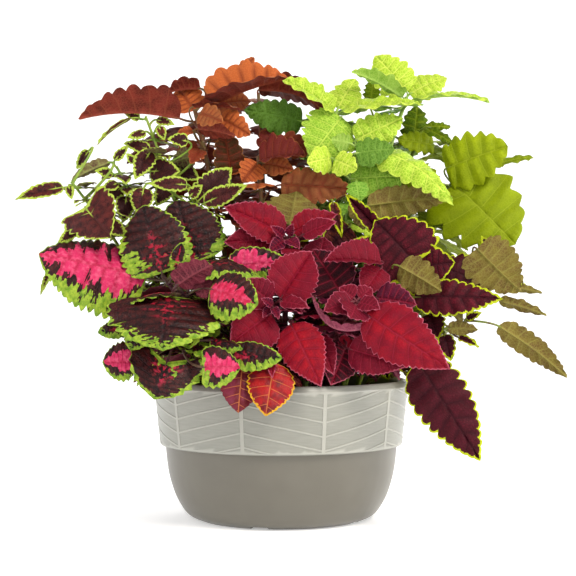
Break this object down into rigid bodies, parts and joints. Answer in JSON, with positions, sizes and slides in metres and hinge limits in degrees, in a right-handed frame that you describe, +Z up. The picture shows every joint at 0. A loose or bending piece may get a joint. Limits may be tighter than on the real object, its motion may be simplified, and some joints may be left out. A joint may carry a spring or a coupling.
{
  "type": "potted coleus",
  "caption": "Mixed coleus planting with lime, rust, crimson, wine and pink-splashed foliage in a round two-tone planter.",
  "frame": {"origin": "on the surface that the planter stands on, under the middle of the planter", "axes": "+Z up; the front of the planting faces -Y; +X to the right as seen from the front"},
  "size_m": [0.6382, 0.447, 0.5642],
  "materials": {
    "chartreuse_foliage": "smooth satin leaf, yellow-green with deep lobes",
    "crimson_foliage": "satin leaf, crimson with purple at the heart of each shoot",
    "edged_foliage": "satin leaf, dark maroon with a lime edge",
    "ember_foliage": "satin leaf, warm red with a golden edge and pale veins",
    "lime_foliage": "soft matt leaf, bright lime netted with yellow veins",
    "mosaic_foliage": "quilted leaf, dark brown and pink with a scalloped lime edge",
    "planter": "satin, lighter band with a herringbone relief over a taupe body",
    "rust_foliage": "matt quilted leaf, burnt orange above and maroon below",
    "soil": "matt, crumbly bark-based potting mix",
    "wine_foliage": "satin leaf, burgundy with a yellow edge above and tan-olive below"
  },
  "bodies": {
    "root": {"chartreuse_rear": "chartreuse_foliage", "chartreuse_side": "chartreuse_foliage", "chartreuse_top": "chartreuse_foliage", "crimson_back": "crimson_foliage", "crimson_left": "crimson_foliage", "crimson_low": "crimson_foliage", "crimson_rear": "crimson_foliage", "crimson_right": "crimson_foliage", "crimson_top": "crimson_foliage", "edged_far_left": "edged_foliage", "edged_heart": "edged_foliage", "edged_left": "edged_foliage", "edged_middle": "edged_foliage", "edged_rear": "edged_foliage", "edged_right": "edged_foliage", "edged_top": "edged_foliage", "ember_front": "ember_foliage", "lime_front": "lime_foliage", "lime_left": "lime_foliage", "lime_low": "lime_foliage", "lime_rear": "lime_foliage", "lime_right": "lime_foliage", "mosaic_front": "mosaic_foliage", "mosaic_low": "mosaic_foliage", "mosaic_rear": "mosaic_foliage", "mosaic_upper": "mosaic_foliage", "planter": "planter", "rust_back": "rust_foliage", "rust_low": "rust_foliage", "rust_main": "rust_foliage", "rust_middle": "rust_foliage", "rust_rear": "rust_foliage", "soil": "soil", "wine_main": "wine_foliage", "wine_middle": "wine_foliage", "wine_rear": "wine_foliage", "wine_side": "wine_foliage", "wine_trailing": "wine_foliage"}
  },
  "joints": []
}
